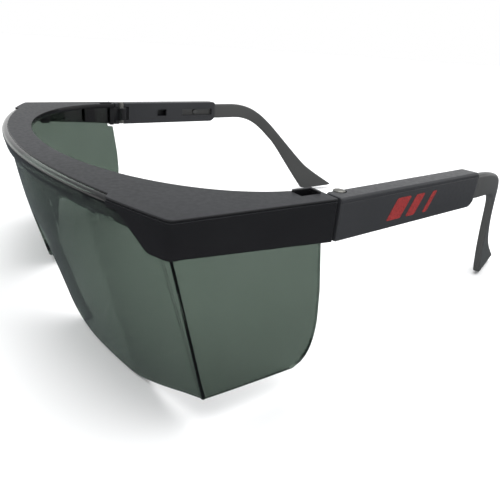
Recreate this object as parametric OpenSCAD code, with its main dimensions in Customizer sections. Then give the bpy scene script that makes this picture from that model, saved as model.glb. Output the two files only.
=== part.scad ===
/* [Front frame] */
// Half of the frame's width across the hinges
hinge_half_w = 78; // [76:0.5:80]
// Half of the frame's width across the front corners
corner_half_w = 77; // [76:0.5:78]
// Distance from the front corners back to the hinge seam
side_len = 38; // [36:0.5:42]
// How far the brow bows forward of the front corners
brow_bow = 16; // [15:0.5:17]
// Height of the side arms and of the temple sleeves
arm_h = 10; // [9.5:0.25:11]
// Height of the front corners
corner_h = 8; // [7.5:0.25:8.5]
// Thickness of the top shelf
shelf_t = 2; // [1.8:0.1:2.2]
// Height of the shelf's top above the surface that the glasses stand on
top_z = 52; // [51:0.5:54]

/* [Lens] */
// Thickness of the lens
lens_t = 1.9; // [1.7:0.1:2]
// How far the lens leans back from its top to its bottom, in degrees
lens_tilt = 14; // [12:0.5:15]
// Half of the width of the nose arch near the bottom of the lens
nose_half_w = 18; // [16:0.5:20]
// Height of the nose arch
nose_h = 28; // [25:0.5:30]
// Depth of the nose rest behind the arch's edge
nose_rest_d = 4; // [3:0.5:6]

/* [Temples] */
// Length of a temple sleeve behind the seam
sleeve_len = 57; // [55:0.5:60]
// Thickness of a temple sleeve, across the head
sleeve_w = 5; // [5:0.1:5.4]
// Thickness of the slide and of its ear hook
slide_w = 2.4; // [2.2:0.1:2.6]
// Height of the slide
slide_h = 7.4; // [6.8:0.1:7.6]
// How far the left temple is folded in from straight back, in degrees
left_fold = 4.2; // [-2:0.2:8]
// How far the right temple is folded in from straight back, in degrees
right_fold = -2.4; // [-2.4:0.2:8]
// How far the left slide is drawn out of its sleeve
left_draw = 0; // [0:0.5:12]
// How far the right slide is drawn out of its sleeve
right_draw = 6; // [0:0.5:12]

/* [Hidden] */
$fn = 48;

// Axes: X across the face with the wearer's left at +X, -Y forward, Z up.
// Heights below are drops from the shelf's top, which placed() lifts to top_z.
// Posts are given as thickness across, length, and y of the front end.
mid_y = 39.3;
seam_y = -2;
corner_y = seam_y - side_len;
front_y = corner_y - brow_bow;
brow_r = arc_radius(corner_half_w, brow_bow);

// Brow and side arms
corner_round = 1.2;
plate_t = 1.3;
arm_wall_t = 1.8;
centre_half_w = 60.8;
plate_top_x = 61.5;
plate_foot_x = 73.2;
opening_half_w = 70;
opening_back_y = -4;
opening_front_y = front_y + 8;
opening_power = 2.07;
brow_wall_in = 5;
brow_wall_t = 1.8;
brow_wall_h = 7.2;
post_h = 8.4;
front_post = [1.6, 4, -35];
rear_post = [2.4, 5, -16];
end_block_t = 2;
end_block_w = 5.6;
slot_w = 2.6;
slot_len = 4.6;
slot_front_y = -8.6;
rim_t = 0.8;
rim_h = 0.6;

// Lens: a slice of a leaning drum with two flat side shields
lens_gap = 0.15;
lens_proud = 0.9;
lens_top = 0.3;
lens_tuck = shelf_t + 0.3;
lens_bow = (brow_bow + lens_proud) * cos(lens_tilt);
lens_r = arc_radius(corner_half_w, lens_bow);
shield_x = corner_half_w - arm_wall_t - 0.35;
lens_drop = 52;
lobe_foot_x = 50;
lobe_side_x = 60;
lobe_side_drop = 49.2;
shield_drop = 44.4;
shield_back_y = seam_y + 2.5;
arch_waist_drop = 45;
arch_foot = 22;

// Hinge: the pin's axis, the frame's knuckle and the sleeve's two ears
pin_x = hinge_half_w - 4.3;
pin_y = seam_y + 4.3;
slot_x = pin_x - 1.1;
pin_r = 1.4;
pin_fit = 0.05;
pin_head_r = 1.6;
pin_head_t = 0.3;
ear_t = 1.8;
ear_r = 3.2;
knuckle_r = 2.8;
knuckle_web = 3.4;
knuckle_drop = ear_t + 0.3;
knuckle_h = arm_h - 2 * knuckle_drop;

// Sleeve, measured from the pin's axis: x outward, y rearward
sleeve_out = hinge_half_w - pin_x;
sleeve_in = sleeve_out - sleeve_w;
sleeve_front = seam_y - pin_y + 0.4;
sleeve_back = sleeve_front + sleeve_len;
sleeve_chamfer = 0.5;
hinge_pocket_y = 3.7;
slide_x = (sleeve_in + sleeve_out) / 2;
slide_gap = 0.2;
cavity_y = 9;
window_y = 33;
window_len = 18;
window_h = 3.2;
peephole_y = 19;
peephole_len = 5;

// Slide and ear hook, measured from the pin's axis when the slide is pushed home
slide_front = 24;
slide_drop = arm_h / 2;
nub_y = 35;
nub_r = 1.2;
hook_from = [sleeve_back + 5.5, -slide_drop];
hook_lead = [sleeve_back + 27, -slide_drop];
hook_fall = [sleeve_back + 27.5, -18.4];
hook_end = [sleeve_back + 64.2, -49.9];
hook_turn_in = 16.4;
hook_turn_power = 1.6;
hook_back = 2.9;
hook_front = 2.7;
hook_heel = 3.6;
hook_toe = 5.4;
hook_rings = 26;
tip_len = 1.2;
tip_rings = 4;

function arc_radius(half_w, bow) = (half_w * half_w + bow * bow) / (2 * bow);
function arc_y(x, inset) = front_y + brow_r - sqrt(pow(brow_r - inset, 2) - x * x);
function side_x(y, inset) = corner_half_w - inset
    + (hinge_half_w - corner_half_w) * (y - corner_y) / (seam_y - corner_y);
function bezier2(a, b, c, u) = pow(1 - u, 2) * a + 2 * u * (1 - u) * b + u * u * c;
function bezier3(a, b, c, d, u) = pow(1 - u, 3) * a + 3 * u * pow(1 - u, 2) * b
    + 3 * u * u * (1 - u) * c + pow(u, 3) * d;
function mirrored(line) = [for (k = [len(line) - 1:-1:0]) [-line[k][0], line[k][1]]];

module placed() translate([0, -mid_y, top_z]) children();

module both_sides() for (s = [0, 1]) mirror([s, 0, 0]) children();

// Draws a temple part at the pin of one side, folded in by an angle and drawn back by a length
module on_temple(is_left, fold, draw = 0) placed() mirror([is_left ? 0 : 1, 0, 0])
    translate([pin_x, pin_y, 0]) rotate([0, 0, fold]) translate([0, draw, 0]) children();

// ---- Front frame ----

// The frame's outer line, from the left seam round both corners to the right seam
function half_line(inset) =
    let (r = max(0.6, corner_round - inset), tip_y = arc_y(side_x(corner_y, inset), inset),
        tip = [side_x(tip_y, inset), tip_y], run = tip[0] - r)
    concat(
        [[side_x(seam_y, inset), seam_y]],
        [for (k = [0:6]) bezier2([side_x(tip_y + r, inset), tip_y + r], tip,
            [run, arc_y(run, inset)], k / 6)],
        [for (k = [1:24]) [run * (1 - k / 24.5), arc_y(run * (1 - k / 24.5), inset)]]);

module outer_shape(inset) polygon(concat(half_line(inset), mirrored(half_line(inset))));

// The opening for the face, widest near the corners
function opening_point(a) = [
    opening_half_w * sign(cos(a)) * pow(abs(cos(a)), 2 / opening_power),
    opening_back_y + (opening_front_y - opening_back_y) * pow(abs(sin(a)), 2 / opening_power)];

module opening_shape() polygon(concat(
    [for (a = [0:6:180]) opening_point(a)],
    [[-opening_half_w, 5], [opening_half_w, 5]]));

// A wall of the given thickness that follows the outer line and hangs from the shelf
module hanging_wall(inset, thick, drop) translate([0, 0, -drop])
    linear_extrude(drop - shelf_t / 2) difference() {
        outer_shape(inset);
        outer_shape(inset + thick);
        translate([-100, seam_y - 0.01]) square([200, 20]);
    }

// The front plates of the corners, whose inner edges slant outward and down
module corner_plates() intersection() {
    hanging_wall(0, plate_t, arm_h + 1);
    both_sides() translate([0, corner_y + 12, 0]) rotate([90, 0, 0]) linear_extrude(60)
        polygon([[plate_top_x, 1], [plate_foot_x, -corner_h], [90, -arm_h - 2], [90, 1]]);
}

module side_walls() intersection() {
    hanging_wall(0, arm_wall_t, arm_h + 1);
    both_sides() translate([60, corner_y + corner_round, -20]) cube([30, side_len, 20]);
}

module brow_wall() intersection() {
    hanging_wall(brow_wall_in, brow_wall_t, brow_wall_h);
    translate([-61, front_y, -20]) cube([122, 24, 20]);
}

// Inside a side arm: two posts that clip the lens' shield, the end block and the hinge knuckle
module arm_inside() {
    post_x = shield_x - lens_t - 0.2;
    for (p = [front_post, rear_post])
        translate([post_x - p[0], p[2], -post_h]) cube([p[0], p[1], post_h - 1]);
    translate([pin_x - 2.6, seam_y - end_block_t, -arm_h])
        cube([end_block_w, end_block_t, arm_h - 1]);
    translate([pin_x - knuckle_web / 2, seam_y - 1, -knuckle_drop - knuckle_h])
        cube([knuckle_web, pin_y - seam_y + 1, knuckle_h]);
    translate([pin_x, pin_y, -knuckle_drop - knuckle_h]) cylinder(r=knuckle_r, h=knuckle_h);
    // The slot's raised rim, along its inner and rear sides
    translate([slot_x - slot_w / 2 - rim_t, slot_front_y, -1]) cube([rim_t, slot_len + rim_t, 1 + rim_h]);
    translate([slot_x - slot_w / 2 - rim_t, slot_front_y + slot_len, -1])
        cube([slot_w + rim_t, rim_t, 1 + rim_h]);
}

// The side arms deepen from the corners to the hinges
module below_the_arms() rotate([90, 0, 90]) translate([0, 0, -100]) linear_extrude(200)
    polygon([[front_y - 5, -arm_h - 3], [front_y - 5, -corner_h], [corner_y + 3, -corner_h],
        [seam_y, -arm_h], [10, -arm_h], [10, -arm_h - 3]]);

module brow_frame() color([0.12, 0.12, 0.13]) placed() difference() {
    union() {
        translate([0, 0, -shelf_t]) linear_extrude(shelf_t) difference() {
            outer_shape(0);
            opening_shape();
        }
        corner_plates();
        side_walls();
        brow_wall();
        both_sides() arm_inside();
    }
    below_the_arms();
    // Room for the lens, which shows at the brow and tucks under the shelf at the corners
    intersection() {
        difference() {
            drum(-lens_gap);
            drum(lens_t + lens_gap);
        }
        union() {
            translate([-centre_half_w, front_y - 5, -20]) cube([2 * centre_half_w, 40, 30]);
            translate([-shield_x - 0.1, front_y - 5, -20])
                cube([2 * shield_x + 0.2, 40, 20 - lens_tuck + 0.1]);
        }
    }
    translate([-centre_half_w, front_y - 5, -shelf_t - 1]) difference() {
        cube([2 * centre_half_w, 40, shelf_t + 2]);
        translate([centre_half_w, 5 - front_y, shelf_t + 1]) drum(lens_t);
    }
    both_sides() {
        translate([slot_x - slot_w / 2, slot_front_y, -shelf_t - 1])
            cube([slot_w, slot_len, shelf_t + 2]);
        translate([pin_x, pin_y, -arm_h - 5]) cylinder(r=pin_r + pin_fit, h=arm_h + 10);
    }
}

// ---- Lens ----

// The leaning drum whose surface is the lens' outer face, taken in by an inset
module drum(inset) translate([0, front_y - lens_proud, 0]) rotate([lens_tilt, 0, 0])
    translate([0, lens_r, -70]) cylinder(r=lens_r - inset, h=90, $fn=200);

// The nose arch, grown outward by a margin: a broad foot and a round top
function arch_half(grow) =
    let (w = nose_half_w + grow, top = nose_h - lens_drop + grow, waist = grow / 2 - arch_waist_drop)
    concat(
        [[w + arch_foot, -lens_drop - 3], [w + arch_foot, -lens_drop - 0.01]],
        [for (k = [1:6]) bezier2([w + arch_foot - 5, -lens_drop], [w + 3, -lens_drop], [w, waist], k / 6)],
        [for (k = [1:9]) bezier2([w, waist], [w - 6, top], [0, top], k / 9.5)]);

module arch_shape(grow) polygon(concat(arch_half(grow), mirrored(arch_half(grow))));

// Right half of the front outline, seen from the front: brow edge, side and the bottom of the lobe
lens_half = [[centre_half_w - 0.2, -lens_top], [centre_half_w - 0.2, -lens_tuck],
    [shield_x, -lens_tuck], [shield_x, 2 - shield_drop], [shield_x - 3, -shield_drop],
    [lobe_side_x, -lobe_side_drop], [lobe_foot_x, -lens_drop]];

module seen_from_front(from_y, depth)
    translate([0, from_y + depth, 0]) rotate([90, 0, 0]) linear_extrude(depth) children();

module lens_front() intersection() {
    difference() {
        drum(0);
        drum(lens_t);
    }
    seen_from_front(front_y - 5, 50) difference() {
        polygon(concat(lens_half, mirrored(lens_half)));
        arch_shape(0);
    }
}

// The flat shield behind each end of the curved front
module lens_shield() intersection() {
    drum(0.02);
    translate([shield_x - lens_t, 0, 0]) rotate([90, 0, 90]) linear_extrude(lens_t)
        polygon(concat(
            [[corner_y - 4, -lens_tuck], [corner_y - 4, -shield_drop + 1],
             [-27.6, -shield_drop], [shield_back_y - 6, -shield_drop + 0.4]],
            [for (k = [1:5]) bezier2([shield_back_y - 6, -shield_drop + 0.4],
                [shield_back_y, -shield_drop + 1], [shield_back_y, -32], k / 5)],
            [[seam_y + 1.4, -24], [seam_y - 0.6, -arm_h - 1], [seam_y - end_block_t - 0.6, -arm_h - 0.8],
             [seam_y - end_block_t - 0.6, -lens_tuck]]));
}

// The nose rest: the arch's edge turned back towards the face
module nose_rest() intersection() {
    difference() {
        drum(lens_t / 2);
        drum(nose_rest_d);
    }
    seen_from_front(front_y - 5, 50) intersection() {
        difference() {
            arch_shape(lens_t);
            arch_shape(0);
        }
        translate([-nose_half_w - 9, -lens_drop]) square([2 * nose_half_w + 18, 40]);
    }
}

module lens() color([0.36, 0.43, 0.39, 0.6]) placed() {
    lens_front();
    both_sides() lens_shield();
    nose_rest();
}

// ---- Hinge pins ----

module hinge_pin() {
    translate([0, 0, -arm_h + 0.3]) cylinder(r=pin_r, h=arm_h - 0.3);
    cylinder(r=pin_head_r, h=pin_head_t);
}

module left_hinge_pin() color([0.72, 0.71, 0.68]) on_temple(true, left_fold) hinge_pin();
module right_hinge_pin() color([0.72, 0.71, 0.68]) on_temple(false, right_fold) hinge_pin();

// ---- Temple sleeves ----

// The sleeve's outline from above: a square front outside the pin, a round ear inside it
module sleeve_plan() {
    translate([0, sleeve_front]) square([sleeve_out, sleeve_len]);
    translate([sleeve_in, 0]) square([sleeve_w, sleeve_back]);
    intersection() {
        circle(r=ear_r);
        translate([sleeve_in, -ear_r]) square([sleeve_w, 2 * ear_r]);
    }
}

module temple_sleeve() difference() {
    intersection() {
        translate([0, 0, -arm_h]) linear_extrude(arm_h) sleeve_plan();
        // Seen from the end: small chamfers along the outer edges
        translate([0, sleeve_back + 1, 0]) rotate([90, 0, 0]) linear_extrude(sleeve_len + 2)
            polygon([[sleeve_in, 0], [sleeve_in, -arm_h], [sleeve_out - sleeve_chamfer, -arm_h],
                [sleeve_out, -arm_h + sleeve_chamfer], [sleeve_out, -sleeve_chamfer],
                [sleeve_out - sleeve_chamfer, 0]]);
        // Seen from the side: a cut corner at the bottom of the open end
        translate([sleeve_in - 1, 0, 0]) rotate([90, 0, 90]) linear_extrude(sleeve_w + 2)
            polygon([[sleeve_front - 1, 0], [sleeve_front - 1, -arm_h], [sleeve_back - 1.5, -arm_h],
                [sleeve_back, -arm_h + 1.5], [sleeve_back, 0]]);
    }
    // Room for the knuckle between the ears
    translate([0, 0, -arm_h + ear_t]) linear_extrude(arm_h - 2 * ear_t) {
        circle(r=ear_r);
        translate([-ear_r, sleeve_front - 1]) square([ear_r * 2, -sleeve_front + 1]);
        translate([-ear_r, -1]) square([ear_r, hinge_pocket_y + 1]);
    }
    translate([0, 0, -arm_h - 1]) cylinder(r=pin_r, h=arm_h + 2);
    // Channel for the slide, open at the rear
    translate([slide_x - slide_w / 2 - slide_gap, cavity_y, -slide_drop - slide_h / 2 - slide_gap])
        cube([slide_w + 2 * slide_gap, sleeve_len, slide_h + 2 * slide_gap]);
    // Window for the slide's detent, and a smaller one ahead of it, in the inner face
    for (w = [[window_y, window_len], [peephole_y, peephole_len]])
        translate([sleeve_in - 1, w[0], -slide_drop - window_h / 2]) cube([2.5, w[1], window_h]);
}

module left_temple_sleeve() color([0.2, 0.2, 0.22]) on_temple(true, left_fold) temple_sleeve();
module right_temple_sleeve() color([0.2, 0.2, 0.22]) on_temple(false, right_fold) temple_sleeve();

// ---- Slides with their ear hooks ----

function hook_yz(u) = bezier3(hook_from, hook_lead, hook_fall, hook_end, u);
function hook_point(u) = [slide_x - hook_turn_in * pow(u, hook_turn_power), hook_yz(u)[0], hook_yz(u)[1]];
function unit(v) = v / norm(v);
function hook_way(u) = unit(hook_point(min(1, u + 0.01)) - hook_point(max(0, min(1, u + 0.01) - 0.02)));

// How far a point of the hook has come past a place on it, from 0 to 1 at the tip
function past(u, place) = max(0, u - place) / (1 - place);

// The blade's reach above and below its centre line. Both edges narrow from the slide's height,
// then the rear edge flares to a heel and the front edge to a toe.
function blade_above(u) = slide_h / 2 + (hook_back - slide_h / 2) * min(1, u / 0.8)
    + hook_heel * pow(past(u, 0.85), 1.4);
function blade_below(u) = slide_h / 2 + (hook_front - slide_h / 2) * min(1, u / 0.35)
    + hook_toe * pow(past(u, 0.6), 1.3);

// One ring of the blade: eight points round the centre line, with the corners taken off.
// The lean turns the ring from square to the blade towards level, as the foot needs.
function ring(centre, way, wide, above, below, lean = 0) =
    let (square = unit([0, 0, 1] - way * way[2]), out = cross(way, square), up = square + lean * way,
        w = wide / 2, c = wide / 4)
    [for (q = [[w, above - c], [w - c, above], [c - w, above], [-w, above - c],
               [-w, c - below], [c - w, -below], [w - c, -below], [w, c - below]])
        centre + q[0] * out + q[1] * up];

blade_rings = concat(
    [for (y = [slide_front, hook_from[0] - 3])
        ring([slide_x, y, -slide_drop], [0, 1, 0], slide_w, slide_h / 2, slide_h / 2)],
    [for (k = [0:hook_rings]) let (u = k / hook_rings)
        ring(hook_point(u), hook_way(u), slide_w, blade_above(u), blade_below(u), past(u, 0.68))],
    [for (k = [1:tip_rings]) let (a = 90 * k / tip_rings, left = 1 - 0.35 * (1 - cos(a)))
        ring(hook_point(1) + hook_way(1) * sin(a) * tip_len, hook_way(1), slide_w * left,
            blade_above(1) * left, blade_below(1) * left, 1)]);

module ear_slide() union() {
    count = len(blade_rings);
    polyhedron(
        points=[for (r = blade_rings) for (p = r) p],
        faces=concat(
            [[for (j = [0:7]) j], [for (j = [7:-1:0]) (count - 1) * 8 + j]],
            [for (i = [0:count - 2]) for (j = [0:7]) let (n = (j + 1) % 8)
                [i * 8 + j, (i + 1) * 8 + j, (i + 1) * 8 + n, i * 8 + n]]));
    translate([slide_x - slide_w / 2 - 0.7, nub_y, -slide_drop]) rotate([0, 90, 0])
        cylinder(r=nub_r, h=1.5);
}

module left_ear_slide() color([0.24, 0.24, 0.26]) on_temple(true, left_fold, left_draw) ear_slide();
module right_ear_slide() color([0.24, 0.24, 0.26]) on_temple(false, right_fold, right_draw) ear_slide();

brow_frame();
lens();
left_hinge_pin();
right_hinge_pin();
left_temple_sleeve();
right_temple_sleeve();
left_ear_slide();
right_ear_slide();
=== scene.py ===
"""Wraparound safety glasses: a black brow frame, a grey-green lens and folding temples."""
import math

import bmesh
import bpy
from mathutils import Matrix, Vector


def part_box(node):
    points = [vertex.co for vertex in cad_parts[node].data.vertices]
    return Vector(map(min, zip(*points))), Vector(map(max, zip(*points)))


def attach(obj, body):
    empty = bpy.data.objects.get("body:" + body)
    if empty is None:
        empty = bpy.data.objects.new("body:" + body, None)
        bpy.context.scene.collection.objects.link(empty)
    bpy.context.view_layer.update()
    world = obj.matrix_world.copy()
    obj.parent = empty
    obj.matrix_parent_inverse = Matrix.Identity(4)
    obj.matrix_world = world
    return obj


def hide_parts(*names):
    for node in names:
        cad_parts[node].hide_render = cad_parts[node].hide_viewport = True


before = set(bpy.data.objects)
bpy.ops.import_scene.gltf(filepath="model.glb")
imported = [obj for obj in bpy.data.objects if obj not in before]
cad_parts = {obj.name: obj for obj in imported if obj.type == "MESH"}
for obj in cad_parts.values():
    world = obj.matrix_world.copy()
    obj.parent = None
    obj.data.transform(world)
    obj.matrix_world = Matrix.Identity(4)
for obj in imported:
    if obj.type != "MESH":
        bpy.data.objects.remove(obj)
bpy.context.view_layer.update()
MM = 0.001

# ---- Driving values, in millimetres, most of them shared with the CAD source ----
# X across the face, -Y forward, Z up from the shelf's top. Drops and heights are positive lengths.

# Brow frame
HINGE_HALF_W, CORNER_HALF_W = 78.0, 77.0
SEAM_Y, CORNER_Y, FRONT_Y, SEAM_GAP = -2.0, -40.0, -56.0, 0.12
ARM_H, CORNER_H, SHELF_T = 10.0, 8.0, 2.0
CORNER_ROUND, PLATE_T, ARM_WALL_T = 1.2, 1.3, 1.8
CENTRE_HALF_W, PLATE_TOP_X, PLATE_SLOPE = 60.8, 61.5, 0.77
OPENING_HALF_W, OPENING_BACK_Y, OPENING_FRONT_Y, OPENING_POWER = 70.0, -4.0, -48.0, 2.07
BROW_WALL_HALF_W, BROW_WALL_IN, BROW_WALL_T, BROW_WALL_H = 61, 5.0, 1.8, 7.2
SLOT_IN, SLOT_W, SLOT_LEN, SLOT_FRONT_Y, RIM_T, RIM_H = 1.1, 2.6, 4.6, -8.6, 0.8, 0.6
# Each post that holds the lens: its thickness, its front and back Y, and its rounding
POST_H, POSTS = 8.4, ((1.6, -35, -31, 0.3), (2.4, -16, -11, 0.4))

# Lens
LENS_T, LENS_TILT, LENS_PROUD = 1.9, math.radians(14), 0.9
LENS_TOP, LENS_TUCK, LENS_ROLL, LENS_STEP_X = 0.3, 2.3, 1.4, 60.6
SHIELD_X, SHIELD_DROP, LENS_DROP, NOSE_REST_D = 74.85, 44.3, 52.0, 4.0
BAND_H, BAND_STEP, BELLY_DROP = 4.2, 1.2, 22.0
CREASE_TOP_W, CREASE_FOOT_W, CREASE_THIN, CREASE_THIN_FROM = 2.2, 0.6, 0.6, 50.0
NOSE_HALF_W, NOSE_DROP, ARCH_DROP, LOBE_RUN = 18.0, 45.0, 24.0, 17.0

# Hinge
PIN_R, PIN_HEAD_T, PIN_BACK, BORE_GAP = 1.4, 0.3, 4.3, 0.05
EAR_T, EAR_R, KNUCKLE_R, KNUCKLE_GAP = 1.8, 3.2, 2.8, 0.3

# Temples, with X and Y from the hinge pin's axis. WINDOWS holds each window's start and length along Y,
# and HOOK the control points of the hook's centre line as (Y, Z).
SLEEVE_IN, SLEEVE_OUT, SLEEVE_FRONT, SLEEVE_BACK = -0.7, 4.3, -3.9, 53.1
SLIDE_X, SLIDE_Z, SLIDE_W, SLIDE_H, SLIDE_FRONT, SLIDE_GAP = 1.8, -5.0, 2.4, 7.4, 24.0, 0.2
WINDOW_H, WINDOWS = 3.2, ((33, 18), (19, 5))
NUB_Y, NUB_R, NUB_H = 35.0, 1.2, 0.7
HOOK = [Vector(p) for p in ((58.6, -5.0), (80.1, -5.0), (80.6, -18.4), (117.3, -49.9))]
HOOK_TURN_IN, HOOK_TURN_POWER, TIP_LEN = 16.4, 1.6, 1.2
HOOK_BACK, HOOK_FRONT, HOOK_HEEL, HOOK_TOE = 2.9, 2.7, 3.6, 5.4

# How each temple stands at rest: its fold in degrees and how far its slide is drawn out
FOLD = {"left": 4.2, "right": -2.4}
DRAW = {"left": 0.0, "right": 6.0}

# The hinge pin ties the values above to the frame that was loaded
pin_lo, pin_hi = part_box("left_hinge_pin")
PIN_X, PIN_Y = (pin_lo.x + pin_hi.x) / 2 / MM, SEAM_Y + PIN_BACK
MID_Y = PIN_Y - (pin_lo.y + pin_hi.y) / 2 / MM
TOP_Z = pin_hi.z / MM - PIN_HEAD_T
SLOT_X = PIN_X - SLOT_IN


# ---- Small sums ----

def mix(a, b, f):
    return a + (b - a) * f


def clamp(v, low=0.0, high=1.0):
    return max(low, min(high, v))


def bezier(points, u):
    while len(points) > 1:
        points = [mix(a, b, u) for a, b in zip(points, points[1:])]
    return points[0]


def curve_param(points, x):
    """Where a curve that only rises or only falls reaches x."""
    sign = 1 if points[-1] > points[0] else -1
    low, high = 0.0, 1.0
    for _ in range(30):
        middle = (low + high) / 2
        if (x - bezier(points, middle)) * sign > 0:
            low = middle
        else:
            high = middle
    return low


def along(table, x):
    """Straight-line interpolation in a table of (x, value) pairs in rising x."""
    if x <= table[0][0]:
        return table[0][1]
    for (x0, v0), (x1, v1) in zip(table, table[1:]):
        if x <= x1:
            return mix(v0, v1, (x - x0) / (x1 - x0))
    return table[-1][1]


# ---- Surfaces that the frame and the lens share ----

def arc_radius(half_w, bow):
    return (half_w ** 2 + bow ** 2) / (2 * bow)


BROW_R = arc_radius(CORNER_HALF_W, CORNER_Y - FRONT_Y)
LENS_R = arc_radius(CORNER_HALF_W, (CORNER_Y - FRONT_Y + LENS_PROUD) * math.cos(LENS_TILT))


def arc_y(x):
    """The brow's front edge."""
    return FRONT_Y + BROW_R - math.sqrt(BROW_R ** 2 - x * x)


def side_x(y):
    """The side arm's outer face, which slants a little."""
    return CORNER_HALF_W + (HINGE_HALF_W - CORNER_HALF_W) * (y - CORNER_Y) / (SEAM_Y - CORNER_Y)


def drum_y(x, z, inset):
    """The leaning drum that the lens is a slice of."""
    across = LENS_R - math.sqrt((LENS_R - inset) ** 2 - x * x)
    return FRONT_Y - LENS_PROUD + (across - z * math.sin(LENS_TILT)) / math.cos(LENS_TILT)


def lens_y(x, z, inset=0.0):
    """The lens' own surface: a proud band under the brow, then a hollow that fades out below it."""
    step = clamp((-z - BAND_H) / 0.3) * clamp((z + BELLY_DROP) / (BELLY_DROP - BAND_H)) ** 1.5
    return drum_y(x, z, inset) + BAND_STEP * step * clamp((60 - abs(x)) / 30)


# ---- Mesh helpers ----

def sweep(rings):
    """A closed skin through rings of equally many points, flat at both ends."""
    bm = bmesh.new()
    loops = [[bm.verts.new(p) for p in ring] for ring in rings]
    for a, b in zip(loops, loops[1:]):
        for j in range(len(a)):
            k = (j + 1) % len(a)
            bm.faces.new((a[j], b[j], b[k], a[k]))
    bm.faces.new(list(reversed(loops[0])))
    bm.faces.new(loops[-1])
    bmesh.ops.recalc_face_normals(bm, faces=bm.faces)
    return bm


def block(low, high, r=0.3):
    """A box between two corners with all its edges rounded."""
    low, high = Vector(low), Vector(high)
    place = Matrix.Translation((low + high) / 2) @ Matrix.Diagonal((*(high - low), 1))
    bm = bmesh.new()
    bmesh.ops.create_cube(bm, size=1, matrix=place)
    if r:
        bmesh.ops.bevel(bm, geom=bm.edges[:], offset=r, segments=2, profile=0.5, affect="EDGES")
    return bm


def turned(profile, centre, steps=48):
    """A solid of revolution about a vertical axis, from (radius, z) pairs with radius 0 left out."""
    angles = [2 * math.pi * k / steps for k in range(steps)]
    x, y = centre
    return sweep([[(x + r * math.cos(a), y + r * math.sin(a), z) for a in angles] for r, z in profile])


def loose_object(bm):
    mesh = bpy.data.meshes.new("work")
    bm.to_mesh(mesh)
    bm.free()
    obj = bpy.data.objects.new("work", mesh)
    bpy.context.scene.collection.objects.link(obj)
    return obj


def combine(bm, add=(), cut=()):
    """Joins solids to a solid, then cuts others out of it, and uses them all up."""
    target = loose_object(bm)
    tools = [("UNION", loose_object(t)) for t in add] + [("DIFFERENCE", loose_object(t)) for t in cut]
    for operation, tool in tools:
        modifier = target.modifiers.new("join", "BOOLEAN")
        modifier.operation, modifier.object, modifier.solver = operation, tool, "MANIFOLD"
    result = bmesh.new()
    shown = target.evaluated_get(bpy.context.evaluated_depsgraph_get())
    result.from_mesh(shown.to_mesh())
    for obj in [target] + [tool for _, tool in tools]:
        mesh = obj.data
        bpy.data.objects.remove(obj)
        bpy.data.meshes.remove(mesh)
    return result


def mirror_x(bm):
    bm.transform(Matrix.Diagonal((-1, 1, 1, 1)))
    bmesh.ops.reverse_faces(bm, faces=bm.faces)
    return bm


def on_temple(bm, side, draw=0.0):
    """Moves a shape from the pin's own axes to its place on a temple."""
    fold = math.radians(FOLD[side])
    place = Matrix.Translation((PIN_X, PIN_Y, 0)) @ Matrix.Rotation(fold, 4, "Z")
    bm.transform(place @ Matrix.Translation((0, draw, 0)))
    return bm if side == "left" else mirror_x(bm)


def piece(name, bm, body, materials, node=None, sharp=40, pick=None):
    """Makes a named piece from a shape in the frame's millimetres and ties it to a body."""
    bm.transform(Matrix.Diagonal((MM, MM, MM, 1)) @ Matrix.Translation((0, -MID_Y, TOP_Z)))
    bm.normal_update()
    for e in bm.edges:
        e.smooth = len(e.link_faces) == 2 and e.calc_face_angle(0) < math.radians(sharp)
    for f in bm.faces:
        f.smooth = True
        if pick:
            f.material_index = pick(f)
    mesh = bpy.data.meshes.new(name)
    bm.to_mesh(mesh)
    bm.free()
    obj = bpy.data.objects.new(name, mesh)
    bpy.context.scene.collection.objects.link(obj)
    for material in materials:
        mesh.materials.append(material)
    normals = obj.modifiers.new("weighted_normals", "WEIGHTED_NORMAL")
    normals.keep_sharp = True
    if node:
        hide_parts(node)
    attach(obj, body)
    return obj


# ---- Materials ----

def new_material(name):
    material = bpy.data.materials.new(name)
    material.use_nodes = True
    tree = material.node_tree
    return material, tree, tree.nodes["Principled BSDF"]


def noise(tree, scale, detail=3.0, stretch=None):
    """Noise in the object's own space, with the scale in cells per metre."""
    coords = tree.nodes.new("ShaderNodeTexCoord")
    out = coords.outputs["Object"]
    if stretch:
        mapping = tree.nodes.new("ShaderNodeMapping")
        mapping.inputs["Scale"].default_value = stretch
        tree.links.new(out, mapping.inputs["Vector"])
        out = mapping.outputs["Vector"]
    texture = tree.nodes.new("ShaderNodeTexNoise")
    texture.inputs["Scale"].default_value = scale
    texture.inputs["Detail"].default_value = detail
    tree.links.new(out, texture.inputs["Vector"])
    return texture.outputs["Fac"]


def spread(tree, value, low, high, from_low=0.35, from_high=0.65):
    """Maps the busy middle of a noise to a range of values."""
    node = tree.nodes.new("ShaderNodeMapRange")
    for key, v in (("From Min", from_low), ("From Max", from_high), ("To Min", low), ("To Max", high)):
        node.inputs[key].default_value = v
    tree.links.new(value, node.inputs["Value"])
    return node.outputs["Result"]


def ramp(tree, value, stops):
    node = tree.nodes.new("ShaderNodeValToRGB")
    band = node.color_ramp
    for k, (position, colour) in enumerate(stops):
        stop = band.elements[k] if k < 2 else band.elements.new(position)
        stop.position, stop.color = position, (*colour, 1)
    tree.links.new(value, node.inputs["Fac"])
    return node.outputs["Color"]


def bump(tree, shader, value, distance, strength=1.0):
    node = tree.nodes.new("ShaderNodeBump")
    node.inputs["Strength"].default_value = strength
    node.inputs["Distance"].default_value = distance
    tree.links.new(value, node.inputs["Height"])
    tree.links.new(node.outputs["Normal"], shader.inputs["Normal"])


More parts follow.
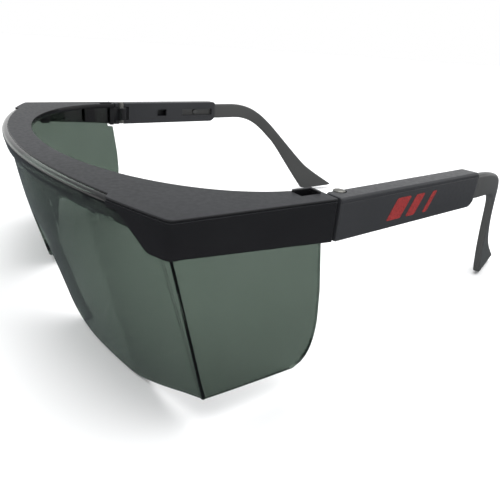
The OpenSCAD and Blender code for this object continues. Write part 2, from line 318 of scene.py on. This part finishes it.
def nylon(name, dark, light, rough, specular, grain):
    """Moulded black nylon: cloudy tone, uneven gloss and a fine grain."""
    material, tree, shader = new_material(name)
    tone = ramp(tree, noise(tree, 35, 2), ((0.35, dark), (0.65, light)))
    tree.links.new(tone, shader.inputs["Base Color"])
    gloss = spread(tree, noise(tree, 900, 6), rough[0], rough[1])
    tree.links.new(gloss, shader.inputs["Roughness"])
    shader.inputs["Specular IOR Level"].default_value = specular
    bump(tree, shader, noise(tree, 3200, 4), grain * MM)
    return material


POLYCARBONATE_IOR = 1.585


def tinted_lens(name, tint, rough):
    """Polished tinted polycarbonate with faint smears."""
    material, tree, shader = new_material(name)
    r, g, b = tint
    dark, light = (r * 0.95, g * 0.96, b * 0.95), (r * 1.04, g * 1.03, b * 1.04)
    tone = ramp(tree, noise(tree, 45, 3), ((0.3, dark), (0.7, light)))
    tree.links.new(tone, shader.inputs["Base Color"])
    gloss = spread(tree, noise(tree, 70, 8, (1, 1, 2.5)), rough[0], rough[1], 0.45, 0.75)
    tree.links.new(gloss, shader.inputs["Roughness"])
    shader.inputs["Transmission Weight"].default_value = 1.0
    shader.inputs["IOR"].default_value = POLYCARBONATE_IOR
    shader.inputs["Specular IOR Level"].default_value = 0.35
    bump(tree, shader, noise(tree, 25, 2), 0.02 * MM, 0.5)
    return material


def steel(name):
    """Dull steel with an uneven polish."""
    material, tree, shader = new_material(name)
    tone = ramp(tree, noise(tree, 900, 5), ((0.3, (0.22, 0.22, 0.20)), (0.7, (0.36, 0.35, 0.33))))
    tree.links.new(tone, shader.inputs["Base Color"])
    tree.links.new(spread(tree, noise(tree, 2500, 5), 0.32, 0.55), shader.inputs["Roughness"])
    shader.inputs["Metallic"].default_value = 1.0
    bump(tree, shader, noise(tree, 4000, 3), 0.01 * MM)
    return material


def print_ink(name):
    """Pad-printed red ink, uneven in tone and gloss."""
    material, tree, shader = new_material(name)
    tone = ramp(tree, noise(tree, 1500, 6), ((0.3, (0.17, 0.012, 0.012)), (0.55, (0.28, 0.018, 0.018))))
    tree.links.new(tone, shader.inputs["Base Color"])
    tree.links.new(spread(tree, noise(tree, 2200, 4), 0.4, 0.6), shader.inputs["Roughness"])
    shader.inputs["Specular IOR Level"].default_value = 0.3
    return material


# The satin top's base colour is lighter than the gloss sides' colour. This is painted light from above on
# the up-facing faces; its rougher, duller finish is real.
SATIN_LIT_TOP = nylon("nylon_satin_lit_top", (0.030, 0.031, 0.033), (0.035, 0.036, 0.039), (0.38, 0.46), 0.08, 0.003)
GLOSS = nylon("nylon_gloss", (0.008, 0.008, 0.009), (0.011, 0.011, 0.012), (0.14, 0.22), 0.38, 0.002)
SLEEVE = nylon("sleeve_nylon", (0.026, 0.027, 0.030), (0.031, 0.032, 0.035), (0.30, 0.40), 0.35, 0.003)
SLIDE = nylon("slide_nylon", (0.055, 0.056, 0.055), (0.060, 0.061, 0.060), (0.30, 0.31), 0.4, 0.00003)
LENS = tinted_lens("lens_tint", (0.075, 0.098, 0.080), (0.0, 0.03))
STEEL = steel("pin_steel")
INK = print_ink("mark_ink")


# ---- Brow frame ----

def opening_edge():
    """The left half of the opening's edge, from its back corner to the middle, by distance along it."""
    points, gone = [], 0.0
    power = 2 / OPENING_POWER
    for k in range(181):
        a = math.radians(k / 2)
        v = Vector((OPENING_HALF_W * math.cos(a) ** power,
                    mix(OPENING_BACK_Y, OPENING_FRONT_Y, math.sin(a) ** power)))
        gone += (v - points[-1][1]).length if points else 0.0
        points.append((gone, v))
    return points


OPENING = opening_edge()


def opening_point(p):
    """The opening's point as far round its edge as p is round the outline."""
    if p.y > OPENING_BACK_Y:
        return Vector((OPENING_HALF_W, p.y))
    turn = math.asin(CORNER_HALF_W / BROW_R)
    side = OPENING_BACK_Y - CORNER_Y
    gone = min(OPENING_BACK_Y - p.y, side) + BROW_R * max(0, turn - math.asin(p.x / BROW_R))
    return along(OPENING, gone / (side + BROW_R * turn) * OPENING[-1][0])


def half_outline():
    """Outline points of the left half from the seam to the middle, with the kind of each stretch."""
    tip_y = arc_y(side_x(CORNER_Y))
    tip = Vector((side_x(tip_y), tip_y))
    leg = CORNER_ROUND
    run = tip.x - leg
    start = Vector((side_x(tip_y + leg), tip_y + leg))
    end = Vector((run, arc_y(run)))
    arm = [Vector((side_x(y), y)) for y in (mix(SEAM_Y - SEAM_GAP, start.y, k / 19) for k in range(19))]
    corner = [bezier([start, tip, end], k / 10) for k in range(11)]
    steps = [mix(run, CENTRE_HALF_W, k / 24) for k in range(1, 25)]
    brow = [Vector((x, arc_y(x))) for x in steps]
    centre = [Vector((x, arc_y(x))) for x in (CENTRE_HALF_W * (1 - k / 40) for k in range(41))]
    return [(p, "full") for p in arm + corner + brow] + [(p, "centre") for p in centre]


def outline_normals(points):
    """Inward normals of the left half, each from its point's neighbours along the line."""
    normals = []
    for k, p in enumerate(points):
        a, b = points[max(0, k - 1)], points[min(len(points) - 1, k + 1)]
        t = (b - a).normalized()
        normals.append(Vector((-abs(t.y), abs(t.x))))
    return normals


def wall_drop(p):
    """How deep the outer wall hangs at a point of the outline."""
    arm_start = CORNER_Y + 3
    if p.y > arm_start:
        return mix(CORNER_H, ARM_H, (p.y - arm_start) / (SEAM_Y - arm_start))
    return clamp((p.x - PLATE_TOP_X) * PLATE_SLOPE, SHELF_T, CORNER_H)


def wall_thickness(p, n, z, most):
    """How far a wall can go inward before it meets the lens, found in small steps."""
    thickness, step, gap = 0.15, 0.05, 0.1
    while thickness < most:
        q = p + n * (thickness + step)
        if q.x < SHIELD_X + gap and q.y > drum_y(q.x, z, -gap):
            break
        thickness += step
    return thickness


def frame_ring(p, n, kind):
    """A section of the shelf and its outer wall. In the middle, the shelf ends just behind the lens."""
    if kind == "centre":
        n = (opening_point(p) - p).normalized()
        drop, top_t, foot_t = SHELF_T, 1.5, 1.4

        def face(z):
            reach = 0.0
            for _ in range(4):
                v = p + n * reach
                reach += (drum_y(v.x, z, LENS_T + 0.15) - v.y) / n.y
            return p + n * reach
        groove = 0.0
    else:
        drop = wall_drop(p)
        most = ARM_WALL_T if p.y > CORNER_Y + 2 else PLATE_T
        top_t = wall_thickness(p, n, -LENS_TUCK, most)
        foot_t = wall_thickness(p, n, -drop + 0.5, most)

        def face(z):
            return p
        groove = 0.2
    edge = opening_point(p)
    out = (face(0) - edge).normalized()
    edge_r, foot_r, top_r = 0.35, 0.3, 0.25
    deep = clamp((drop - SHELF_T) / foot_r)
    foot_r = min(foot_r, foot_t * 0.4)
    ring = [(edge + out * edge_r, 0), (edge + out * edge_r * 0.3, -edge_r * 0.3), (edge, -edge_r),
            (edge, -SHELF_T + edge_r), (edge + out * edge_r * 0.3, -SHELF_T + edge_r * 0.3),
            (edge + out * edge_r, -SHELF_T),
            (face(-SHELF_T) + n * (top_t + 0.3), -SHELF_T),
            (face(-SHELF_T) + n * (top_t + 0.1 * (1 - deep)), -SHELF_T - 0.3 * deep),
            (face(-drop) + n * (foot_t + 0.05 * (1 - deep)), -drop + foot_r * deep),
            (face(-drop) + n * (foot_t - 0.3 * foot_r * deep), -drop + 0.3 * foot_r * deep),
            (face(-drop) + n * (foot_t - foot_r), -drop),
            (face(-drop) + n * foot_r, -drop),
            (face(-drop) + n * foot_r * 0.3, -drop + foot_r * 0.3),
            (face(-drop + foot_r), -drop + foot_r)]
    for z, inset in ((-0.8, 0), (-0.7, groove), (-0.45, groove), (-0.35, 0)):
        ring.append((face(z) + n * inset, z))
    for k in range(5):
        a = math.pi / 2 * k / 4
        ring.append((face(0) + n * top_r * (1 - math.cos(a)), -top_r * (1 - math.sin(a))))
    return [Vector((v.x, v.y, z)) for v, z in ring]


def frame_skin():
    """The shelf, the corner plates and the arms' walls in one skin, from seam to seam."""
    half = half_outline()
    normals = outline_normals([p for p, _ in half])
    rings = [frame_ring(p, n, kind) for (p, kind), n in zip(half, normals)]
    other = [[Vector((-v.x, v.y, v.z)) for v in ring] for ring in rings[:-1]]
    return sweep(rings + other[::-1])


def brow_wall():
    """The wall under the shelf, a little behind the lens."""
    rings = []
    for k in range(61):
        x = mix(-BROW_WALL_HALF_W, BROW_WALL_HALF_W, k / 60)
        n = Vector((-x / BROW_R, math.sqrt(1 - (x / BROW_R) ** 2)))
        p = Vector((x, arc_y(x)))
        ring = []
        for inset, z in ((0, -1), (0, -BROW_WALL_H + 0.4), (0.12, -BROW_WALL_H + 0.12), (0.4, -BROW_WALL_H),
                         (BROW_WALL_T - 0.4, -BROW_WALL_H), (BROW_WALL_T - 0.12, -BROW_WALL_H + 0.12),
                         (BROW_WALL_T, -BROW_WALL_H + 0.4), (BROW_WALL_T, -1)):
            v = p + n * (BROW_WALL_IN + inset)
            ring.append(Vector((v.x, v.y, z)))
        rings.append(ring)
    return sweep(rings)


def arm_details():
    """The left arm's posts, knuckle and slot rim, and the slot and the bore that are cut from it."""
    post_x = SHIELD_X - LENS_T - 0.2
    knuckle_top, knuckle_foot = -EAR_T - KNUCKLE_GAP, -ARM_H + EAR_T + KNUCKLE_GAP
    slot_in, slot_out, slot_back = SLOT_X - SLOT_W / 2, SLOT_X + SLOT_W / 2, SLOT_FRONT_Y + SLOT_LEN
    rim_in, rim_back = slot_in - RIM_T, slot_back + RIM_T
    posts = [block((post_x - t, front, -POST_H), (post_x, back, -1), r) for t, front, back, r in POSTS]
    add = posts + [
        block((PIN_X - 2.6, SEAM_Y - 2, -ARM_H + 0.1), (PIN_X + 2.9, SEAM_Y, -0.6), 0.25),
        block((PIN_X - 1.7, SEAM_Y - 1, knuckle_foot), (PIN_X + 1.7, PIN_Y, knuckle_top), 0.2),
        turned([(KNUCKLE_R - 0.2, knuckle_foot), (KNUCKLE_R, knuckle_foot + 0.2),
                (KNUCKLE_R, knuckle_top - 0.2), (KNUCKLE_R - 0.2, knuckle_top)], (PIN_X, PIN_Y)),
        block((rim_in, SLOT_FRONT_Y, -1), (slot_in, rim_back, RIM_H), 0.2),
        block((rim_in, slot_back, -1), (slot_out, rim_back, RIM_H), 0.2),
    ]
    cut = [
        block((slot_in, SLOT_FRONT_Y, -4), (slot_out, slot_back, 2), 0.25),
        turned([(PIN_R + BORE_GAP, -ARM_H), (PIN_R + BORE_GAP, 1)], (PIN_X, PIN_Y)),
    ]
    return add, cut


def brow_frame():
    add, cut = [brow_wall()], []
    for flip in (False, True):
        more, holes = arm_details()
        add += [mirror_x(s) for s in more] if flip else more
        cut += [mirror_x(s) for s in holes] if flip else holes
    shape = combine(frame_skin(), add, cut)
    # Up-facing faces take the satin material, whose lighter base colour is painted light on the frame's top.
    piece("brow_frame_shell", shape, "front", [GLOSS, SATIN_LIT_TOP], "brow_frame",
          pick=lambda f: 1 if f.normal.z > 0.75 else 0)


# ---- Lens ----

# The shield's back edge as (Z, Y) pairs: a round lower corner, then up to a step where it enters the arm
SHIELD_BACK = [(-44.0, -5.5)] + [
    (bezier([-44.0, -43.4, -32.0], u / 8), bezier([-5.5, 0.5, 0.5], u / 8)) for u in range(1, 9)
] + [(-24.0, -0.1), (-11.0, -2.1), (-10.8, -4.6), (0.0, -4.6)]
# The bottom edge's left half: the arch over the nose, the round start of a lobe, and the rise to the shield
ARCH_X, ARCH_Z = [NOSE_HALF_W, NOSE_HALF_W - 6, 0.0], [-NOSE_DROP, -ARCH_DROP, -ARCH_DROP]
LOBE_X, LOBE_Z = [NOSE_HALF_W, NOSE_HALF_W + 3, NOSE_HALF_W + LOBE_RUN], [-NOSE_DROP, -LENS_DROP, -LENS_DROP]
LOBE_RISE = [(50, -LENS_DROP), (53, -51.6), (60, -49.2), (70, -45.4), (SHIELD_X, -43.9)]


def lens_foot(x):
    """Height of the front's bottom edge at x of 0 or more."""
    if x <= NOSE_HALF_W:
        return bezier(ARCH_Z, curve_param(ARCH_X, x))
    if x < NOSE_HALF_W + LOBE_RUN:
        return bezier(LOBE_Z, curve_param(LOBE_X, x))
    return along(LOBE_RISE, x)


def lens_rows(top, foot):
    """Heights down a column: the rolled top edge, the band, and the rest down to the foot."""
    fixed = [top - d for d in (0, 0.1, 0.35, 0.8, 1.4)]
    fixed += [-BAND_H + 0.1, -BAND_H, -BAND_H - 0.3, -6.0, -8.5, -10.75, -11.05, -13.0, -15.0, -17.5, -20.0]
    return fixed + [mix(-20.0, foot, k / 18) for k in range(1, 19)]


def lens_columns():
    """Columns from the right shield's back edge to the left one's, as (kind, side, x or share or number).

    They crowd together at the nose, where the bottom edge is steep, and at the creases."""
    half = [float(x) for x in range(1, 17)]
    half += [NOSE_HALF_W + d for d in (-1.5, -1, -0.6, -0.3, 0, 0.3, 0.7, 1.3, 2, 3, 4.5, 6)]
    half += [mix(NOSE_HALF_W + 6, LENS_STEP_X, k / 24) for k in range(1, 25)] + [CENTRE_HALF_W]
    left = [("front", 1, x) for x in half]
    left += [("turn", 1, 1 - (1 - k / 14) ** 1.5) for k in range(1, 15)]
    left += [("crease", 1, k) for k in (3, 2, 1, 0)]
    left += [("shield", 1, (k / 18) ** 1.5) for k in range(1, 19)]
    return [(kind, -1, x) for kind, _, x in left[::-1]] + [("front", 1, 0.0)] + left


def crease(z, inset):
    """The folded corner at one height: a facet that narrows downward, from the shield to the front."""
    wide = mix(CREASE_TOP_W, CREASE_FOOT_W, clamp((-9 - z) / 35))
    x = SHIELD_X - wide
    b = Vector((x, lens_y(x, z)))
    a = Vector((SHIELD_X, lens_y(SHIELD_X, z) + 0.05 * wide))
    facet = (b - a).normalized()
    across = Vector((facet.y, -facet.x))
    front = Vector((-x / LENS_R, 1)).normalized()
    if inset:
        inset *= CREASE_THIN
        a = a + (Vector((-1, 0)) + across) * inset / (1 - across.x)
        b = b + (across + front) * inset / (1 + across.dot(front))
        return [mix(a, b, f) for f in (0, 0.1, 0.9, 0.95)] + [b]
    return [a + Vector((0, 0.15)), a + facet * 0.15, b - facet * 0.06, b + across * 0.1, b + facet * 0.06]


def lens_point(column, row, inset):
    """A point of the outer skin, or of the inner one when inset is the lens' thickness."""
    kind, side, x = column
    top = -LENS_TUCK
    if kind == "front":
        top, foot = -LENS_TOP if x <= LENS_STEP_X else -LENS_TUCK, lens_foot(x)
    elif kind == "turn":
        foot = lens_foot(mix(CENTRE_HALF_W, SHIELD_X, x))
    else:
        bow = math.sin(x * math.pi / 2) ** 0.7 if kind == "shield" else 0.0
        foot = mix(lens_foot(SHIELD_X), -SHIELD_DROP, bow)
    z = lens_rows(top, foot)[row]
    if kind in ("front", "turn"):
        if kind == "turn":
            x = mix(CENTRE_HALF_W, crease(z, inset)[4].x, x)
        roll = 0.0
        if not inset and top - z < LENS_ROLL and top > -LENS_TUCK:
            roll = LENS_ROLL - math.sqrt(LENS_ROLL ** 2 - (LENS_ROLL - top + z) ** 2)
        thin = mix(1, CREASE_THIN, clamp((x - CREASE_THIN_FROM) / (SHIELD_X - CREASE_THIN_FROM)))
        return Vector((side * x, lens_y(x, z, inset * thin) + roll, z))
    v = crease(z, inset)[x if kind == "crease" else 0]
    if kind == "shield":
        plane = SHIELD_X - inset * mix(CREASE_THIN, 1, x)
        v = Vector((plane, mix(v.y, along(SHIELD_BACK, z), x)))
    return Vector((side * v.x, v.y, z))


def lens_shell():
    """Front, folded corners and shields in one wall, with its bottom edge softened."""
    columns, count = lens_columns(), len(lens_rows(0, 0))
    bm = bmesh.new()
    outer = [[bm.verts.new(lens_point(c, r, 0)) for r in range(count)] for c in columns]
    inner = [[bm.verts.new(lens_point(c, r, LENS_T)) for r in range(count)] for c in columns]
    rims = []
    for i in range(len(columns) - 1):
        for r in range(count - 1):
            bm.faces.new((outer[i][r], outer[i + 1][r], outer[i + 1][r + 1], outer[i][r + 1]))
            bm.faces.new((inner[i][r], inner[i][r + 1], inner[i + 1][r + 1], inner[i + 1][r]))
        for r in (0, count - 1):
            bm.faces.new((outer[i][r], inner[i][r], inner[i + 1][r], outer[i + 1][r]))
        if columns[i][0] != "crease" and columns[i + 1][0] != "crease":
            rims += [(outer[i][-1], outer[i + 1][-1]), (inner[i][-1], inner[i + 1][-1])]
    for i in (0, len(columns) - 1):
        for r in range(count - 1):
            bm.faces.new((outer[i][r], outer[i][r + 1], inner[i][r + 1], inner[i][r]))
    bmesh.ops.recalc_face_normals(bm, faces=bm.faces)
    edges = [bm.edges.get(pair) for pair in rims]
    bmesh.ops.bevel(bm, geom=edges, offset=0.2, segments=2, profile=0.5, affect="EDGES",
                    clamp_overlap=True)
    return bm


def nose_rest():
    """The arch's edge turned back towards the face."""
    foot_x, foot_z = [NOSE_HALF_W + 5.5, NOSE_HALF_W + 1, NOSE_HALF_W], [-50.6, -48.6, -NOSE_DROP]
    path = [(bezier(foot_x, u / 10), bezier(foot_z, u / 10)) for u in range(10)]
    path += [(bezier(ARCH_X, u / 24), bezier(ARCH_Z, u / 24)) for u in range(24)]
    path = path + [(0.0, -ARCH_DROP)] + [(-x, z) for x, z in reversed(path)]
    rings = []
    for k, (x, z) in enumerate(path):
        x0, z0 = path[max(0, k - 1)]
        x1, z1 = path[min(len(path) - 1, k + 1)]
        t = Vector((x1 - x0, z1 - z0)).normalized()
        n = Vector((-t.y, t.x))
        if n.y < 0 and abs(x) < 10 or n.x * x < 0:
            n = -n
        ring = []
        for o, depth in ((0.02, LENS_T / 2), (0.02, NOSE_REST_D - 0.5), (0.2, NOSE_REST_D - 0.1),
                         (0.5, NOSE_REST_D), (1.3, NOSE_REST_D), (1.6, NOSE_REST_D - 0.1),
                         (1.8, NOSE_REST_D - 0.5), (1.8, LENS_T / 2)):
            px, pz = x + n.x * o, z + n.y * o
            ring.append(Vector((px, lens_y(px, pz, depth), pz)))
        rings.append(ring)
    return sweep(rings)


def lens():
    shape = combine(lens_shell(), [nose_rest()])
    piece("lens_shell", shape, "front", [LENS], "lens", sharp=30)


# ---- Temples ----

def rounded_section(y, x0, x1, z0, z1, r, groove):
    """A ring round a sleeve: a rounded rectangle with a fine line below its outer top edge."""
    ring = []
    corners = ((x1 - r, z1 - r, 0), (x0 + r, z1 - r, 90), (x0 + r, z0 + r, 180), (x1 - r, z0 + r, 270))
    for cx, cz, turn in corners:
        for k in range(5):
            a = math.radians(turn + 22.5 * k)
            ring.append(Vector((cx + r * math.cos(a), y, cz + r * math.sin(a))))
    for dz, inset in ((1.45, 0), (1.35, groove), (1.2, groove), (1.1, 0)):
        ring.append(Vector((x1 - inset, y, z1 - dz)))
    return ring


def temple_sleeve(side):
    """The sleeve's box, open at its ends for the knuckle and the slide, with two windows inside."""
    rings = []
    for y, grow, foot, top in ((SLEEVE_FRONT, 0.3, 0, 0), (SLEEVE_FRONT + 0.1, 0.1, 0, 0),
                               (SLEEVE_FRONT + 0.35, 0, 0, 0), (-3.3, 0, 0, 0), (-3.0, 0, 0, 0),
                               (10, 0, 0, 0), (30, 0, 0, 0), (50.4, 0, 0, 0), (51.2, 0, 0.15, 0),
                               (52, 0.02, 0.7, 0.05), (52.7, 0.1, 1.15, 0.2), (SLEEVE_BACK, 0.3, 1.4, 0.5)):
        x0, x1 = (0.0 if y < -3.1 else SLEEVE_IN) + grow, SLEEVE_OUT - grow
        rings.append(rounded_section(y, x0, x1, -ARM_H + foot + grow, -top - grow, 0.5, 0.08))
    head_room = turned([(1.7, -0.4), (1.7, 1)], (0, 0))
    knuckle_room = [
        turned([(EAR_R, -ARM_H + EAR_T), (EAR_R, -EAR_T)], (0, 0)),
        block((-EAR_R, SLEEVE_FRONT - 1, -ARM_H + EAR_T), (EAR_R, 0, -EAR_T), 0),
        block((-EAR_R, -1, -ARM_H + EAR_T), (0, 3.7, -EAR_T), 0),
    ]
    bore = turned([(PIN_R, -ARM_H - 1), (PIN_R, 1)], (0, 0))
    half_w, half_h = SLIDE_W / 2 + SLIDE_GAP, SLIDE_H / 2 + SLIDE_GAP
    channel = block((SLIDE_X - half_w, 9, SLIDE_Z - half_h), (SLIDE_X + half_w, 60, SLIDE_Z + half_h), 0.2)
    low, high = SLIDE_Z - WINDOW_H / 2, SLIDE_Z + WINDOW_H / 2
    windows = [block((SLEEVE_IN - 1, y, low), (0.6, y + length, high), 0.3) for y, length in WINDOWS]
    shape = combine(sweep(rings), cut=knuckle_room + [bore, head_room, channel] + windows)
    piece(side + "_sleeve_shell", on_temple(shape, side), side + "_temple", [SLEEVE],
          side + "_temple_sleeve")


def hinge_pin(side):
    """A plain rivet with a low domed top."""
    shape = turned([(PIN_R - 0.2, -ARM_H + 0.35), (PIN_R, -ARM_H + 0.6), (PIN_R, 0.0), (PIN_R - 0.05, 0.12),
                    (PIN_R - 0.2, 0.22), (PIN_R - 0.6, 0.28), (0.25, 0.3)], (0, 0))
    piece(side + "_pin_rivet", on_temple(shape, side), side + "_temple", [STEEL],
          side + "_hinge_pin")


def hook_point(u):
    """The hook's centre line, which turns down and in behind the ear."""
    v = bezier(HOOK, u)
    return Vector((SLIDE_X - HOOK_TURN_IN * max(0, u) ** HOOK_TURN_POWER, v.x, v.y))


def blade_ring(centre, way, w, above, below, slant=0.0):
    """Eighteen points round the blade, with round edges above and below and a slant along it."""
    up = (Vector((0, 0, 1)) - way * way.z).normalized()
    out = way.cross(up)
    up = up + way * slant
    r = w * 0.42
    ring = []
    for sign, reach in ((1, above), (-1, below)):
        for k in range(9):
            a = math.pi * k / 8
            edge = w / 2 * math.copysign(abs(math.cos(a)) ** 0.7, math.cos(a))
            rise = reach - r + r * math.sin(a) ** 0.7
            ring.append(centre + out * edge * sign + up * rise * sign)
    return ring


def ear_slide(side):
    """The flat slide, the hook that it runs into and the detent nub on its inner face."""
    half = SLIDE_H / 2
    rings = []
    for y, s in ((SLIDE_FRONT, 0.8), (SLIDE_FRONT + 0.3, 1), (40, 1), (52, 1), (55.6, 1)):
        centre = Vector((SLIDE_X, y, SLIDE_Z))
        rings.append(blade_ring(centre, Vector((0, 1, 0)), SLIDE_W * s, half * s, half * s))
    count = 64
    for k in range(count + 1):
        u = k / count
        ahead = min(1, u + 0.01)
        way = (hook_point(ahead) - hook_point(max(0, ahead - 0.02))).normalized()
        above = mix(half, HOOK_BACK, clamp(u / 0.8)) + HOOK_HEEL * clamp((u - 0.85) / 0.15) ** 1.4
        below = mix(half, HOOK_FRONT, clamp(u / 0.35)) + HOOK_TOE * clamp((u - 0.6) / 0.4) ** 1.3
        slant = clamp((u - 0.68) / 0.32)
        rings.append(blade_ring(hook_point(u), way, SLIDE_W, above, below, slant))
    for k in range(1, 7):
        a = math.pi / 2 * k / 6
        s = 1 - 0.4 * (1 - math.cos(a))
        tip = hook_point(1) + way * math.sin(a) * TIP_LEN
        rings.append(blade_ring(tip, way, SLIDE_W * s, above * s, below * s, slant))
    nub = turned([(NUB_R, 0), (NUB_R, 0.5), (1.05, 0.65), (0.8, NUB_H)], (0, 0), 24)
    nub_place = Matrix.Translation((SLIDE_X - SLIDE_W / 2 + 0.02, NUB_Y, SLIDE_Z))
    nub.transform(nub_place @ Matrix.Rotation(-math.pi / 2, 4, "Y"))
    shape = combine(sweep(rings), [nub])
    piece(side + "_slide_hook", on_temple(shape, side, DRAW[side]), side + "_hook", [SLIDE],
          side + "_ear_slide")


def sleeve_mark():
    """A plain mark of three slanted bars on the left sleeve's outer face."""
    low, high, lean, sunk, proud = -7.9, -2.6, 3.2, 0.05, 0.04
    for k, (y, width) in enumerate(((13.0, 5.4), (20.5, 3.6), (27.5, 1.8))):
        outline = [(y, low), (y + width, low), (y + width + lean, high), (y + lean, high)]
        bm = sweep([[(SLEEVE_OUT + depth, *p) for p in outline] for depth in (-sunk, proud)])
        corners = [e for e in bm.edges if abs(e.verts[0].co.x - e.verts[1].co.x) > 0.01]
        bmesh.ops.bevel(bm, geom=corners, offset=0.5, segments=4, profile=0.5, affect="EDGES")
        piece("left_sleeve_mark_%d" % (k + 1), on_temple(bm, "left"), "left_temple", [INK])


brow_frame()
lens()
for which in ("left", "right"):
    temple_sleeve(which)
    hinge_pin(which)
    ear_slide(which)
sleeve_mark()


# ---- Stage, light and camera ----

def floor():
    """A matt white floor just below the glasses, unseen in reflections."""
    bpy.ops.mesh.primitive_plane_add(size=40, location=(0, 0, -0.0002))
    plane = bpy.context.object
    plane.name = "floor"
    material, tree, shader = new_material("floor_white")
    tone = ramp(tree, noise(tree, 3, 2), ((0.3, (0.93, 0.93, 0.93)), (0.7, (0.95, 0.95, 0.95))))
    tree.links.new(tone, shader.inputs["Base Color"])
    shader.inputs["Roughness"].default_value = 0.9
    plane.data.materials.append(material)
    plane.visible_glossy = False


def overhead_light():
    """A wide soft lamp above and behind the glasses, aimed at them."""
    light = bpy.data.lights.new("overhead", "AREA")
    light.shape, light.size, light.energy = "DISK", 0.9, 4
    obj = bpy.data.objects.new("overhead", light)
    bpy.context.scene.collection.objects.link(obj)
    obj.location = (0.1, 0.2, 0.9)
    obj.rotation_mode = "QUATERNION"
    obj.rotation_quaternion = (-obj.location).to_track_quat("-Z", "Y")


def broad_fill():
    """A broad sun straight from above, unseen in reflections."""
    light = bpy.data.lights.new("broad_fill", "SUN")
    light.energy, light.angle = 2.2, math.radians(80)
    obj = bpy.data.objects.new("broad_fill", light)
    bpy.context.scene.collection.objects.link(obj)
    obj.visible_glossy = False


def sky():
    """A white horizon between a grey ceiling and a dim ground."""
    world = bpy.data.worlds.new("studio")
    bpy.context.scene.world = world
    world.use_nodes = True
    tree = world.node_tree
    split = tree.nodes.new("ShaderNodeSeparateXYZ")
    tree.links.new(tree.nodes.new("ShaderNodeTexCoord").outputs["Generated"], split.inputs["Vector"])
    height = spread(tree, split.outputs["Z"], 0.0, 1.0, -1.0, 1.0)
    dim, white, ceiling = (0.10, 0.11, 0.12), (1.0, 1.0, 1.0), (0.55, 0.56, 0.57)
    tone = ramp(tree, height, ((0.40, dim), (0.49, white), (0.555, white), (0.68, ceiling)))
    tree.links.new(tone, tree.nodes["Background"].inputs["Color"])
    bpy.context.scene.view_settings.view_transform = "Standard"


def camera():
    """Seen from the wearer's left front, a little above, with a slight roll."""
    azimuth, elevation, roll = (math.radians(v) for v in (58.34, 20.11, 3.82))
    back = Vector((math.sin(azimuth) * math.cos(elevation), -math.cos(azimuth) * math.cos(elevation),
                   math.sin(elevation)))
    right = Vector((math.cos(azimuth), math.sin(azimuth), 0))
    up = back.cross(right)
    turn = Matrix((right * math.cos(roll) + up * math.sin(roll),
                   up * math.cos(roll) - right * math.sin(roll), back)).transposed().to_4x4()
    place = Vector((142.68, -70.2 - MID_Y, 28.11 + TOP_Z)) * MM
    data = bpy.data.cameras.new("camera")
    obj = bpy.data.objects.new("camera", data)
    bpy.context.scene.collection.objects.link(obj)
    obj.matrix_world = Matrix.Translation(place) @ turn
    data.sensor_width, data.lens = 36, 32.8
    data.shift_x, data.shift_y = 0.0563, -0.0717
    data.clip_start = 0.005
    bpy.context.scene.camera = obj


floor()
sky()
overhead_light()
broad_fill()
camera()
